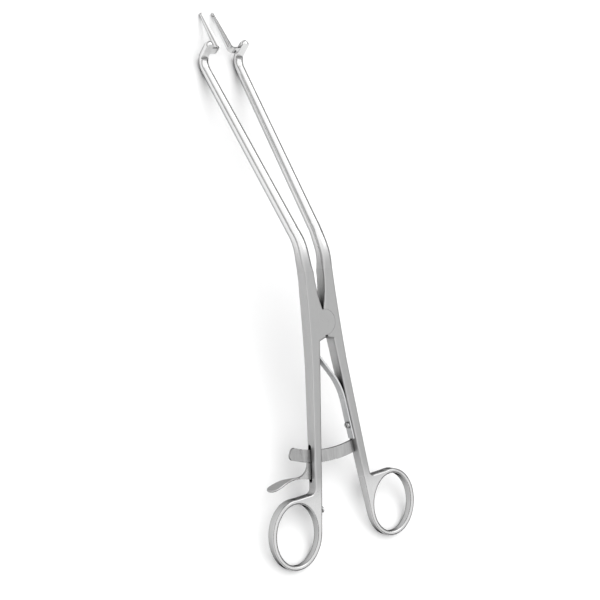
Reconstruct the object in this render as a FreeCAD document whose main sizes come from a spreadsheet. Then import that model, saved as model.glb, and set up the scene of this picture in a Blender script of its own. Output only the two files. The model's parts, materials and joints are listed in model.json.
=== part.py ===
import FreeCAD, Part
import math
import os
from FreeCAD import Placement, Rotation, Vector

# Endocervical speculum: two arms that don't cross, joined in a slotted box, with finger rings,
# a leaf spring between the handles, a toothed arc bar and a sprung release lever.
# Everything is built in the plane of the handles: u to the right, v towards the blades and
# w up from the handles' front face, with the pivot at the origin. The rest placement then lays
# the finished instrument on a table, on its two rings and the heels of its two heads.

doc = FreeCAD.newDocument("endocervical_speculum")
sheet = doc.addObject("Spreadsheet::Sheet", "sizes")

SIZES = {
    # slotted joint box
    "box_thickness": 6.5,
    "cheek_radius": 6.2,
    "seam_gap": 0.08,
    "tongue_radius": 6.0,
    "tongue_thickness": 2.0,
    "tongue_side_gap": 0.05,
    "slot_floor_gap": 0.3,
    "joint_pin_diameter": 4.0,
    "running_gap": 0.03,
    "fixed_gap": 0.01,
    "vee_half_angle": 2.0,
    "notch_half_angle": 7.0,
    "notch_radius": 7.7,
    # flat part of each arm, from the joint up to the bend
    "flat_reach": 25.0,
    "flat_inner": 3.0,
    "flat_outer": 8.7,
    "vee_mid_reach": 14.5,
    "vee_mid_inner": 2.1,
    "box_outer": 9.65,
    "edge_round": 0.9,
    # handles
    "handle_inner": 4.2,
    "handle_start": 8.7,
    "shoulder_outer": 11.0,
    "shoulder_drop": 20.0,
    "handle_outer_end": 17.4,
    "handle_drop": 77.0,
    "handle_thickness": 5.5,
    # finger rings
    "ring_offset": 30.6,
    "ring_drop": 96.8,
    "ring_hole_half_width": 12.4,
    "ring_hole_half_height": 14.7,
    "ring_band": 2.3,
    "ring_thickness": 3.9,
    "ring_web_round": 2.5,
    "ring_join_angle": -7.5,
    "ring_web_angle": 82.0,
    # shanks and heads
    "bend_reach": 37.2,
    "bend_offset": 6.3,
    "bend_angle": 30.6,
    "bend_radius": 30.0,
    "neck_sunk": 0.03,
    "neck_lap": 0.3,
    "neck_share": 0.4,
    "neck_corner_low": 0.22,
    "neck_corner_start": 0.28,
    "neck_corner_middle": 0.37,
    "neck_corner_end": 0.49,
    "rod_diameter": 5.9,
    "rod_end_diameter": 4.8,
    "rod_length": 112.8,
    "rod_lap": 3.0,
    "rod_end_offset": 10.6,
    "heel_radius": 6.0,
    "tongue_lean": 6.0,
    "tongue_length": 5.2,
    "head_front_flat": 1.2,
    "head_back_flat": 1.3,
    "head_flat_drop": 2.0,
    # blades
    "blade_length": 24.7,
    "blade_offset": 3.3,
    "blade_rise": 7.6,
    "blade_width": 4.0,
    "blade_tip_width": 2.0,
    "blade_thickness": 1.9,
    "blade_tip_thickness": 1.0,
    "blade_bend_radius": 2.4,
    "blade_tip_round": 1.0,
    "foot_step": 0.9,
    "groove_depth": 0.8,
    "groove_wall": 0.55,
    "braze_gap": 0.02,
    # ratchet bar; the level of bar and lever is below the handles' middle plane
    "mechanism_level": -1.0,
    "bar_inner_radius": 61.4,
    "bar_width": 6.05,
    "bar_thickness": 1.5,
    "bar_tip_angle": 25.1,
    "bar_tip_corner": 2.2,
    "bar_root_angle": 13.4,
    "bar_root_gap": 0.02,
    "bar_cross_angle": 14.5,
    "bar_pin_angle": 12.0,
    "bar_pin_diameter": 1.6,
    "tooth_pitch_angle": 1.1,
    "tooth_depth": 0.5,
    "tooth_share": 0.85,
    "tooth_count": 18,
    "tooth_start_angle": 0.0,
    # slot in the left handle and the release lever in it
    "slot_above_bar": 2.44,
    "slot_below_bar": 9.8,
    "slot_width": 2.2,
    "lever_pin_below_bar": 6.7,
    "lever_pin_inset": 0.3,
    "lever_pin_diameter": 2.0,
    "lever_thickness": 1.4,
    "nose_gap": 0.15,
    "nose_inner_angle": 12.95,
    "nose_outer_angle": 15.3,
    "plate_reach": 9.6,
    "plate_rise": 0.75,
    "plate_height": 0.9,
    "plate_hollow": 1.1,
    "plate_heel": 1.3,
    "plate_belly": 3.0,
    "plate_knee": 2.6,
    "toe_low": 2.4,
    "toe_high": 1.0,
    "pad_lap": 0.3,
    "pad_length": 19.2,
    "pad_width": 4.9,
    "pad_thickness": 0.95,
    "pad_twist": 68.0,
    "pad_bevel": 0.3,
    "pad_end_share": 0.8,
    # leaf springs and their screws
    "main_spring_thickness": 0.9,
    "main_spring_width": 4.0,
    "main_spring_tail": 7.0,
    "main_spring_bend": 32.3,
    "main_spring_contact": 16.0,
    "main_spring_radius": 35.0,
    "main_screw_above_bar": 8.9,
    "spring_touch_gap": 0.05,
    "lever_spring_thickness": 0.7,
    "lever_spring_width": 2.6,
    "lever_spring_tail": 2.5,
    "lever_spring_below_pin": 1.2,
    "lever_screw_below_pin": 17.0,
    "screw_diameter": 2.0,
    "screw_depth": 3.0,
    "screw_room": 0.2,
    "screw_hole_lead": 1.0,
    "screw_head_diameter": 3.2,
    "screw_head_height": 1.0,
    "screw_slot": 0.5,
}

for row, (alias, value) in enumerate(SIZES.items(), start=1):
    sheet.set("A%d" % row, alias)
    sheet.set("B%d" % row, str(value))
    sheet.setAlias("B%d" % row, alias)
doc.recompute()

U = Vector(1, 0, 0)
V = Vector(0, 1, 0)
W = Vector(0, 0, 1)


def size(alias):
    return float(sheet.get(alias))


def bind(item, **expressions):
    """Ties properties of an object to cells of the sheet."""
    for name, expression in expressions.items():
        item.setExpression(name, expression)
    return item


def polar(radius, angle):
    """Point below the pivot, at an angle from straight down that is positive to the left."""
    turn = math.radians(angle)
    return Vector(-radius * math.sin(turn), -radius * math.cos(turn), 0)


def draw(sketch, *runs):
    """Adds a line for each pair of points and an arc for each three."""
    for run in runs:
        if len(run) == 2:
            sketch.addGeometry(Part.LineSegment(*run), False)
        else:
            sketch.addGeometry(Part.Arc(*run), False)
    return sketch


def sketch_at(name, place=Placement()):
    sketch = doc.addObject("Sketcher::SketchObject", name)
    sketch.Placement = place
    return sketch


def extrude(name, sketch, length, direction=W, symmetric=True):
    """Solid from a closed sketch; length is an expression."""
    solid = doc.addObject("Part::Extrusion", name)
    solid.Base = sketch
    solid.DirMode = "Custom"
    solid.Dir = direction
    solid.Solid = True
    solid.Symmetric = symmetric
    return bind(solid, LengthFwd=length)


def fuse(name, *pieces):
    solid = doc.addObject("Part::MultiFuse", name)
    solid.Shapes = list(pieces)
    return solid


def cut(name, base, *tools):
    """Cuts the tools one after another, so that each cut has its own name in the tree."""
    for number, tool in enumerate(tools):
        solid = doc.addObject("Part::Cut", "%s_%d" % (name, number))
        solid.Base = base
        solid.Tool = tool
        base = solid
    return base


def cylinder(name, place, radius, height):
    """Cylinder along the placement's own Z; radius and height are expressions."""
    solid = doc.addObject("Part::Cylinder", name)
    solid.Placement = place
    return bind(solid, Radius=radius, Height=height)


def across(point, thickness):
    """Placement of a pin that crosses a flat of this thickness at a point of the handles' plane."""
    return Placement(point - W * (thickness / 2), Rotation())


def centred_disc(name, radius, thickness):
    """Disc about the pivot; thickness is the name of a size, radius an expression."""
    return cylinder(name, across(Vector(), size(thickness)), radius, "sizes." + thickness)


# Lines that several pieces share

def handle_edge(side, drop, inner=True):
    """Point on the inner or the outer straight edge of a handle, at a drop below the pivot."""
    if inner:
        start = Vector(size("handle_inner"), -size("handle_start"), 0)
        end = ring_point(size("ring_join_angle"), size("ring_band"))
    else:
        start = Vector(size("shoulder_outer"), -size("shoulder_drop"), 0)
        end = Vector(size("handle_outer_end"), -size("handle_drop"), 0)
    share = (-drop - start.y) / (end.y - start.y)
    point = start + (end - start) * share
    return Vector(side * point.x, point.y, 0)


def ring_point(angle, offset):
    """Point of the right ring's ellipse, at an angle from its inner side towards the blades."""
    turn = math.radians(angle)
    half_width = size("ring_hole_half_width") + offset
    half_height = size("ring_hole_half_height") + offset
    return Vector(size("ring_offset") - half_width * math.cos(turn),
                  -size("ring_drop") + half_height * math.sin(turn), 0)


def bar_outer():
    return size("bar_inner_radius") + size("bar_width")


def bar_drop(radius):
    """Drop below the pivot at which an arc of this radius crosses the left handle."""
    return radius * math.cos(math.radians(size("bar_cross_angle")))


def mechanism():
    """Placement of the level at which the bar and the lever lie in the handles."""
    return Placement(W * size("mechanism_level"), Rotation())


def inner_normal(side):
    """Unit vector out of a handle's inner face, towards the other handle."""
    along = handle_edge(side, size("handle_drop")) - handle_edge(side, size("handle_start"))
    along.normalize()
    return Vector(-side * abs(along.y), -abs(along.x), 0)


def shank_place(side, run, turn):
    """Placement of a cross section on the shank's axis. run is measured along the rod from the
    bend's corner, turn is how far the axis has bent back there."""
    bend = math.radians(size("bend_angle"))
    corner = Vector(side * size("bend_offset"), size("bend_reach"), 0)
    rod = Vector(side * rod_slope(), math.cos(bend), -math.sin(bend))
    lean = side * math.degrees(math.atan(rod_slope())) * turn / size("bend_angle")
    normal = Vector(0, math.sin(math.radians(turn)), math.cos(math.radians(turn)))
    return Placement(corner + rod * run, Rotation(normal, -lean).multiply(Rotation(U, -90 - turn)))


def heel_start():
    """Distance along the rod from the bend's corner to the heel, which puts the leaning tongue's
    axis at the rod's full length where the blade's foot meets it."""
    turn = math.radians(90 - size("tongue_lean"))
    heel = size("heel_radius")
    above = size("blade_rise") - heel * (1 - math.cos(turn))
    return size("rod_length") - heel * math.sin(turn) - above / math.tan(turn)


def rod_slope():
    return (size("rod_end_offset") - size("bend_offset")) / heel_start()


def head_place():
    """Frame of the heads: x to the right, y along the rods from the bend's corner and z up
    along the tongues."""
    return Placement(V * size("bend_reach"), Rotation(U, -size("bend_angle")))


def rounded_section(name, place, width, height, corner):
    """Sketch of a rectangle with round corners, centred in its own plane."""
    x, y = width / 2, height / 2
    diagonal = corner * (1 - math.sqrt(0.5))
    sketch = sketch_at(name, place)
    for sx, sy in ((1, 1), (-1, 1), (-1, -1), (1, -1)):
        side = Vector(sx * x, sy * (y - corner), 0)
        middle = Vector(sx * (x - diagonal), sy * (y - diagonal), 0)
        end = Vector(sx * (x - corner), sy * y, 0)
        following = Vector(-sx * (x - corner), sy * y, 0)
        if sx * sy > 0:
            draw(sketch, (side, middle, end), (end, following))
        else:
            following = Vector(sx * x, -sy * (y - corner), 0)
            draw(sketch, (end, middle, side), (side, following))
    return sketch


def bevelled_section(name, place, width, height, bevel):
    """Sketch of a rectangle with bevelled corners, centred in its own plane."""
    x, y = width / 2, height / 2
    half = [Vector(x, y - bevel, 0), Vector(x - bevel, y, 0),
            Vector(bevel - x, y, 0), Vector(-x, y - bevel, 0)]
    corners = half + [corner * -1 for corner in half]
    return draw(sketch_at(name, place), *zip(corners, corners[1:] + corners[:1]))


def loft(name, sections, ruled=False):
    solid = doc.addObject("Part::Loft", name)
    solid.Sections = sections
    solid.Solid = True
    solid.Ruled = ruled
    return solid


# Arms

def arm_outline(side, name):
    """Flat outline of a handle, its half of the joint and the foot of its shank."""
    def at(u, v):
        return Vector(side * u, v, 0)

    def radial(radius, angle):
        return at(radius * math.sin(math.radians(angle)), radius * math.cos(math.radians(angle)))

    shank_inner = at(size("flat_inner"), size("flat_reach"))
    shank_outer = at(size("flat_outer"), size("flat_reach"))
    vee_mid = at(size("vee_mid_inner"), size("vee_mid_reach"))
    vee = radial(size("cheek_radius") + size("seam_gap"), size("vee_half_angle"))
    notch = radial(-size("notch_radius"), -size("notch_half_angle"))
    handle_top = at(size("handle_inner"), -size("handle_start"))
    handle_end = handle_edge(side, -ring_point(size("ring_join_angle"), size("ring_band")).y)
    web_low = ring_point(size("ring_web_angle") / 2, 0)
    web_top = ring_point(size("ring_web_angle"), size("ring_band"))
    corner = handle_edge(side, -web_top.y, inner=False)
    web_round = size("ring_web_round")
    above = handle_edge(side, -web_top.y - web_round, inner=False)
    beside = Vector(corner.x + side * web_round, web_top.y, 0)
    round_middle = corner + (above + beside - corner * 2) * (1 - math.sqrt(0.5))
    shoulder = at(size("shoulder_outer"), -size("shoulder_drop"))
    box_side = at(size("box_outer"), 0)
    hole_low = at(size("ring_offset") - size("ring_hole_half_width") + size("ring_band"), handle_end.y)
    return draw(
        sketch_at(name + "_outline"),
        (shank_inner, vee_mid, vee), (vee, Vector()), (Vector(), notch), (notch, handle_top),
        (handle_top, handle_end), (handle_end, hole_low), (hole_low, at(web_low.x, web_low.y)),
        (at(web_low.x, web_low.y), at(web_top.x, web_top.y)), (at(web_top.x, web_top.y), beside),
        (beside, round_middle, above), (above, shoulder), (shoulder, box_side, shank_outer),
        (shank_outer, shank_inner))


def ring_ellipse(side, name, offset):
    sketch = sketch_at(name)
    centre = Vector(side * size("ring_offset"), -size("ring_drop"), 0)
    half_width = size("ring_hole_half_width") + offset
    half_height = size("ring_hole_half_height") + offset
    sketch.addGeometry(Part.Ellipse(centre + V * half_height, centre + U * half_width, centre), False)
    return sketch


def face_level(v):
    """Height of the front face above the handles' middle plane, at v."""
    ring_end = size("ring_drop") + size("ring_hole_half_height") + size("ring_band")
    levels = (
        (-size("handle_start"), size("box_thickness") / 2),
        (-size("handle_drop"), size("handle_thickness") / 2),
        (-ring_end, size("ring_thickness") / 2))
    if v >= levels[0][0]:
        return levels[0][1]
    (v1, w1), (v2, w2) = levels[:2] if v > levels[1][0] else levels[1:]
    return w1 + (w2 - w1) * (v - v1) / (v2 - v1)


def face_wedge(side, name, front):
    """What is cut from one face, so that the arm gets thinner towards its ring."""
    margin = 5.0
    stops = (-size("handle_start"), -size("handle_drop"),
             -size("ring_drop") - size("ring_hole_half_height") - size("ring_band") - margin)
    face = [Vector(v, front * face_level(v), 0) for v in stops]
    far = front * size("box_thickness")
    outer = [Vector(stops[-1], far, 0), Vector(stops[0], far, 0)]
    corners = face + outer
    place = Placement(Vector(), Rotation(V, W, U, "ZXY"))
    sketch = sketch_at(name, place)
    draw(sketch, *zip(corners, corners[1:] + corners[:1]))
    return extrude(name + "_wedge", sketch, "2 * (sizes.ring_offset + 2 * sizes.ring_hole_half_width)", U)


def rim_edges(shape):
    """Numbers of the edges round the front and the back face, apart from those in the joint."""
    found = []
    for number, edge in enumerate(shape.Edges, start=1):
        middle = edge.valueAt((edge.FirstParameter + edge.LastParameter) / 2)
        ends = [vertex.Point for vertex in edge.Vertexes]
        on_face = all(abs(abs(p.z) - face_level(p.y)) < 1e-4 for p in ends + [middle])
        level = len(ends) == 2 and abs(ends[0].y - ends[1].y) < 1e-6
        shared = level and abs(ends[0].y + size("handle_start")) < 1e-3
        shared = shared or (level and abs(ends[0].y + size("handle_drop")) < 1e-3)
        shared = shared or (level and abs(ends[0].y - size("flat_reach")) < 1e-3)
        in_joint = Vector(middle.x, middle.y, 0).Length < size("notch_radius")
        if on_face and not shared and not in_joint:
            found.append(number)
    return found


def arm_flat(side, name):
    """Handle, ring and box half, with its edges rounded."""
    outline = extrude(name + "_flat", arm_outline(side, name), "sizes.box_thickness")
    ring = extrude(name + "_ring", ring_ellipse(side, name + "_ring_outer", size("ring_band")),
                   "sizes.box_thickness")
    hole = extrude(name + "_hole", ring_ellipse(side, name + "_ring_inner", 0), "2 * sizes.box_thickness")
    body = cut(name + "_blank", fuse(name + "_joined", outline, ring), hole,
               face_wedge(side, name + "_front", 1), face_wedge(side, name + "_back", -1))
    doc.recompute()
    rounded = doc.addObject("Part::Fillet", name + "_rounded")
    rounded.Base = body
    radius = size("edge_round")
    rounded.Edges = [(number, radius, radius) for number in rim_edges(body.Shape)]
    return rounded


def bend_tangent():
    """Distance from the bend's corner to either end of its arc."""
    return size("bend_radius") * math.tan(math.radians(size("bend_angle") / 2))


def rod_start():
    return bend_tangent() + size("rod_lap")


def shank(side, name):
    """Flat root of the shank that turns into a round rod through the bend, its front flat last."""
    inner, outer, bend, rod, thick, sunk = (size(alias) for alias in (
        "flat_inner", "flat_outer", "bend_angle", "rod_diameter", "box_thickness", "neck_sunk"))
    width = outer - inner
    start = Vector(side * size("bend_offset"), size("bend_reach") - bend_tangent(), 0)
    root = Vector(side * (outer + inner) / 2, size("flat_reach") - size("neck_lap"), 0)
    half = math.radians(bend / 2)
    middle = start + Vector(0, math.sin(half), math.cos(half) - 1) * size("bend_radius")
    upright = Rotation(U, -90)
    share = size("neck_share")
    sections = [
        (Placement(root, upright), width - 2 * sunk, thick - 2 * sunk, size("edge_round")),
        (Placement(root * (1 - share) + start * share, upright), (width + rod) / 2,
         (3 * thick + rod) / 4, rod * size("neck_corner_low")),
        (Placement(start, upright), rod, (thick + rod) / 2, rod * size("neck_corner_start")),
        (Placement(middle, Rotation(U, -90 - bend / 2)), rod, rod, rod * size("neck_corner_middle")),
        (shank_place(side, bend_tangent(), bend), rod, rod, rod * size("neck_corner_end")),
        (shank_place(side, rod_start(), bend), rod + 2 * sunk, rod + 2 * sunk,
         rod * size("neck_corner_end")),
    ]
    return loft(name + "_neck", [rounded_section("%s_section_%d" % (name, number), *section)
                                 for number, section in enumerate(sections)])


def rod(side, name):
    """Tapered round rod from the bend to the head."""
    solid = doc.addObject("Part::Cone", name + "_rod")
    start = rod_start()
    solid.Placement = shank_place(side, start, size("bend_angle"))
    bind(solid, Radius1="sizes.rod_diameter / 2", Radius2="sizes.rod_end_diameter / 2")
    solid.Height = (heel_start() - start) * math.sqrt(1 + rod_slope() ** 2)
    return solid


def heel_place(side):
    """Frame of one heel: origin at the rod's end, y along the rod, z away from the table."""
    lean = side * math.degrees(math.atan(rod_slope()))
    start = Vector(side * size("rod_end_offset"), heel_start(), 0)
    return head_place().multiply(Placement(start, Rotation(W, -lean)))


def tongue_place(side):
    """Frame of one tongue: origin at the heel's end, z along the tongue, y towards the blades."""
    turn = math.radians(90 - size("tongue_lean"))
    heel = size("heel_radius")
    end = Vector(0, heel * math.sin(turn), heel * (1 - math.cos(turn)))
    return heel_place(side).multiply(Placement(end, Rotation(U, -size("tongue_lean"))))


def head(side, name):
    """Rod end bent up over the heel into a tongue with two milled flats and a domed end."""
    radius = "sizes.rod_end_diameter / 2"
    elbow = doc.addObject("Part::Torus", name + "_heel")
    elbow.Placement = heel_place(side).multiply(
        Placement(W * size("heel_radius"), Rotation(W * -1, V, U, "ZXY")))
    bind(elbow, Radius1="sizes.heel_radius", Radius2=radius, Angle3="90 - sizes.tongue_lean")
    base = tongue_place(side)
    stem = cylinder(name + "_stem", base, radius, "sizes.tongue_length")
    dome = doc.addObject("Part::Sphere", name + "_dome")
    dome.Placement = base.multiply(Placement(W * size("tongue_length"), Rotation()))
    bind(dome, Radius=radius)
    return cut(name + "_head", fuse(name + "_bent", elbow, stem, dome),
               head_flat(side, name + "_front_flat", True), head_flat(side, name + "_back_flat", False))


def head_flat(side, name, front):
    """Block that mills one flat on a head's tongue."""
    block = doc.addObject("Part::Box", name)
    wide = size("rod_end_diameter")
    if front:
        corner = Vector(-wide, -size("head_front_flat") - wide, -size("head_flat_drop"))
    else:
        corner = Vector(-wide, size("head_back_flat"), -size("heel_radius"))
    block.Placement = tongue_place(side).multiply(Placement(corner, Rotation()))
    return bind(block, Length="2 * sizes.rod_end_diameter", Width="sizes.rod_end_diameter",
                Height="2 * (sizes.heel_radius + sizes.tongue_length)")


def arm(side, name):
    """Everything that the two arms have in common."""
    return [arm_flat(side, name), shank(side, name), rod(side, name), head(side, name)]


def screw_hole(side, name, drop):
    """Blind hole in a handle's inner face, a little deeper than its screw."""
    out = inner_normal(side)
    mouth = handle_edge(side, drop) + out * size("screw_hole_lead")
    return cylinder(name, Placement(mouth, Rotation(W, out * -1)),
                    "sizes.screw_diameter / 2 + sizes.fixed_gap",
                    "sizes.screw_depth + sizes.screw_room + sizes.screw_hole_lead")


def bar_outline(sketch, inner, outer, start, end, corner=0):
    """Sector of a ring about the pivot, whose end has round corners or is straight."""
    middle = (start + end) / 2
    inner_end, outer_end = (end - math.degrees(corner / radius) for radius in (inner, outer))
    a, b = polar(inner, start), polar(inner, inner_end)
    c, d = polar(outer, outer_end), polar(outer, start)
    draw(sketch, (a, polar(inner, middle), b), (c, polar(outer, middle), d), (d, a))
    if not corner:
        return draw(sketch, (b, c))
    low, high = polar(inner + corner, end), polar(outer - corner, end)
    inner_tip, outer_tip = polar(inner, end), polar(outer, end)
    inner_round = inner_tip + (b + low - inner_tip * 2) * (1 - math.sqrt(0.5))
    outer_round = outer_tip + (c + high - outer_tip * 2) * (1 - math.sqrt(0.5))
    return draw(sketch, (b, inner_round, low), (low, high), (high, outer_round, c))


def handle_middle(side, drop):
    return (handle_edge(side, drop) + handle_edge(side, drop, inner=False)) / 2


def lever_pivot_drop():
    return bar_drop(bar_outer()) + size("lever_pin_below_bar")


def main_screw_drop():
    """Distance below the pivot, counted up from the bar so that the spring stays clear of it."""
    return size("bar_inner_radius") - size("main_screw_above_bar")


def lever_screw_drop():
    return lever_pivot_drop() + size("lever_screw_below_pin")


def lever_pivot():
    return handle_middle(-1, lever_pivot_drop()) + U * size("lever_pin_inset")


def bar_pin_point():
    return polar((size("bar_inner_radius") + bar_outer()) / 2, -size("bar_pin_angle"))


def left_arm():
    """Arm with the two cheeks of the joint and the through slot for bar and lever."""
    name = "left_arm"
    cheeks = centred_disc(name + "_cheeks", "sizes.cheek_radius", "box_thickness")
    slot = cylinder(name + "_joint_slot",
                    across(Vector(), size("tongue_thickness") + 2 * size("tongue_side_gap")),
                    "sizes.tongue_radius + sizes.slot_floor_gap",
                    "sizes.tongue_thickness + 2 * sizes.tongue_side_gap")
    pin_hole = centred_disc(name + "_pin_hole", "sizes.joint_pin_diameter / 2 + sizes.fixed_gap",
                            "box_thickness")
    half = size("slot_width") / 2
    top = size("slot_above_bar") - bar_drop(size("bar_inner_radius")) - half
    bottom = -size("slot_below_bar") - bar_drop(bar_outer()) + half
    wall = Placement(Vector(), Rotation(V, W, U, "ZXY"))
    window = sketch_at(name + "_window", mechanism().multiply(wall))
    draw(window,
         (Vector(top, half, 0), Vector(top + half, 0, 0), Vector(top, -half, 0)),
         (Vector(top, -half, 0), Vector(bottom, -half, 0)),
         (Vector(bottom, -half, 0), Vector(bottom - half, 0, 0), Vector(bottom, half, 0)),
         (Vector(bottom, half, 0), Vector(top, half, 0)))
    bar_slot = extrude(name + "_bar_slot", window, "sizes.ring_offset", U * -1, symmetric=False)
    lever_hole = cylinder(name + "_lever_hole", across(lever_pivot(), size("box_thickness")),
                          "sizes.lever_pin_diameter / 2 + sizes.fixed_gap", "sizes.box_thickness")
    body = fuse(name + "_forging", *arm(-1, name), cheeks)
    return cut(name, body, slot, pin_hole, bar_slot, lever_hole,
               screw_hole(-1, name + "_screw_hole", lever_screw_drop()))


def right_arm():
    """Arm with the middle tongue of the joint and the seat of the ratchet bar."""
    name = "right_arm"
    tongue = centred_disc(name + "_tongue", "sizes.tongue_radius", "tongue_thickness")
    half = size("tongue_thickness") / 2
    pockets = [cylinder("%s_pocket_%d" % (name, number), Placement(W * level, Rotation()),
                        "sizes.cheek_radius + sizes.seam_gap",
                        "sizes.box_thickness - sizes.tongue_thickness")
               for number, level in enumerate((half, half - size("box_thickness")))]
    pin_hole = centred_disc(name + "_pin_hole", "sizes.joint_pin_diameter / 2 + sizes.running_gap",
                            "box_thickness")
    gap = size("fixed_gap")
    seat = bar_outline(sketch_at(name + "_seat", mechanism()), size("bar_inner_radius") - gap,
                       bar_outer() + gap, -size("bar_root_angle"), 0)
    bar_seat = extrude(name + "_bar_seat", seat, "sizes.bar_thickness + 2 * sizes.fixed_gap")
    bar_pin_hole = cylinder(name + "_bar_pin_hole", across(bar_pin_point(), size("box_thickness")),
                            "sizes.bar_pin_diameter / 2 + sizes.fixed_gap", "sizes.box_thickness")
    flat = arm(1, name)
    flat[0] = cut(name + "_joint", flat[0], *pockets)
    body = fuse(name + "_forging", *flat, tongue)
    return cut(name, body, pin_hole, bar_seat, bar_pin_hole,
               screw_hole(1, name + "_screw_hole", main_screw_drop()))


# Pins and screws

def joint_pin():
    return centred_disc("joint_pin", "sizes.joint_pin_diameter / 2", "box_thickness")


def cross_pin(name, point, diameter):
    """Pin ground flush with the handle's two faces where it sits."""
    level = face_level(point.y)
    return cylinder(name, Placement(point - W * level, Rotation()), "sizes.%s / 2" % diameter,
                    "%.6f" % (2 * level))


def spring_screw(side, name, drop, spring):
    """Slotted screw through a leaf spring into the handle's inner face."""
    out = inner_normal(side)
    seat = handle_edge(side, drop)
    turn = Rotation(W, out)
    gap = size("fixed_gap")
    shank_start = Placement(seat - out * (size("screw_depth") - gap), turn)
    head_start = Placement(seat + out * (size(spring) + gap), turn)
    stem = cylinder(name + "_stem", shank_start, "sizes.screw_diameter / 2",
                    "sizes.screw_depth + sizes.%s" % spring)
    top = cylinder(name + "_head", head_start, "sizes.screw_head_diameter / 2", "sizes.screw_head_height")
    drive = doc.addObject("Part::Box", name + "_drive")
    bind(drive, Length="sizes.screw_slot", Width="sizes.screw_head_diameter",
         Height="sizes.screw_head_height")
    corner = Vector(-size("screw_slot"), -size("screw_head_diameter"), size("screw_head_height")) / 2
    drive.Placement = head_start.multiply(Placement(corner, Rotation()))
    return cut(name, fuse(name + "_turned", stem, top), drive)


# Leaf springs

def strip_body(name, points, bend_radius, thickness, width):
    """Flat spring of constant thickness along two straight runs with an arc between them."""
    body = doc.addObject("PartDesign::Body", name)
    plane = [item for item in body.Origin.OriginFeatures if item.Role == "XY_Plane"][0]
    sketch = body.newObject("Sketcher::SketchObject", name + "_profile")
    sketch.AttachmentSupport = (plane, [""])
    sketch.MapMode = "FlatFace"
    half = thickness / 2
    if len(points) == 2:
        start, end = points
        side = (end - start).cross(W).normalize() * half
        corners = [start + side, end + side, end - side, start - side]
        draw(sketch, *zip(corners, corners[1:] + corners[:1]))
    else:
        start, corner, end = points
        into = (corner - start).normalize()
        out = (end - corner).normalize()
        turn = into.getAngle(out)
        tangent = bend_radius * math.tan(turn / 2)
        arc_start, arc_end = corner - into * tangent, corner + out * tangent
        left = 1 if into.cross(out).z > 0 else -1
        centre = arc_start + W.cross(into) * (left * bend_radius)
        towards = ((arc_start + arc_end) / 2 - centre).normalize()
        sides = []
        for sign in (1, -1):
            shift_in = W.cross(into) * (sign * half)
            shift_out = W.cross(out) * (sign * half)
            middle = centre + towards * (bend_radius - sign * left * half)
            sides.append((start + shift_in, arc_start + shift_in, middle,
                          arc_end + shift_out, end + shift_out))
        for first, second, middle, third, last in sides:
            draw(sketch, (first, second), (second, middle, third), (third, last))
        draw(sketch, (sides[0][0], sides[1][0]), (sides[0][-1], sides[1][-1]))
    pad = body.newObject("PartDesign::Pad", name + "_pad")
    pad.Profile = sketch
    pad.SideType = "Symmetric"
    pad.setExpression("Length", "sizes." + width)
    return body


def spring_hole(side, name, drop):
    """Hole for a spring's screw, through the whole spring."""
    out = inner_normal(side)
    start = handle_edge(side, drop) - out * size("screw_depth")
    return cylinder(name, Placement(start, Rotation(W, out)), "sizes.screw_diameter / 2 + sizes.fixed_gap",
                    "2 * sizes.screw_depth")


def main_spring():
    """Leaf spring on the right handle's inner face that bears on the left handle."""
    half = size("main_spring_thickness") / 2
    lift = inner_normal(1) * half
    start = handle_edge(1, main_screw_drop() + size("main_spring_tail")) + lift
    corner = handle_edge(1, size("main_spring_bend")) + lift
    lift_off = inner_normal(-1) * (half + size("spring_touch_gap"))
    touch = handle_edge(-1, size("main_spring_contact")) + lift_off
    strip = strip_body("main_spring_strip", [start, corner, touch], size("main_spring_radius"),
                       size("main_spring_thickness"), "main_spring_width")
    return cut("main_spring", strip, spring_hole(1, "main_spring_hole", main_screw_drop()))


def lever_spring():
    """Small leaf spring on the left handle's inner face that presses on the lever's toe."""
    lift = inner_normal(-1) * (size("lever_spring_thickness") / 2)
    start = handle_edge(-1, lever_screw_drop() + size("lever_spring_tail")) + lift
    end = handle_edge(-1, lever_pivot_drop() + size("lever_spring_below_pin")) + lift
    strip = strip_body("lever_spring_strip", [start, end], 0, size("lever_spring_thickness"),
                       "lever_spring_width")
    return cut("lever_spring", strip, spring_hole(-1, "lever_spring_hole", lever_screw_drop()))


# Ratchet bar

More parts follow.
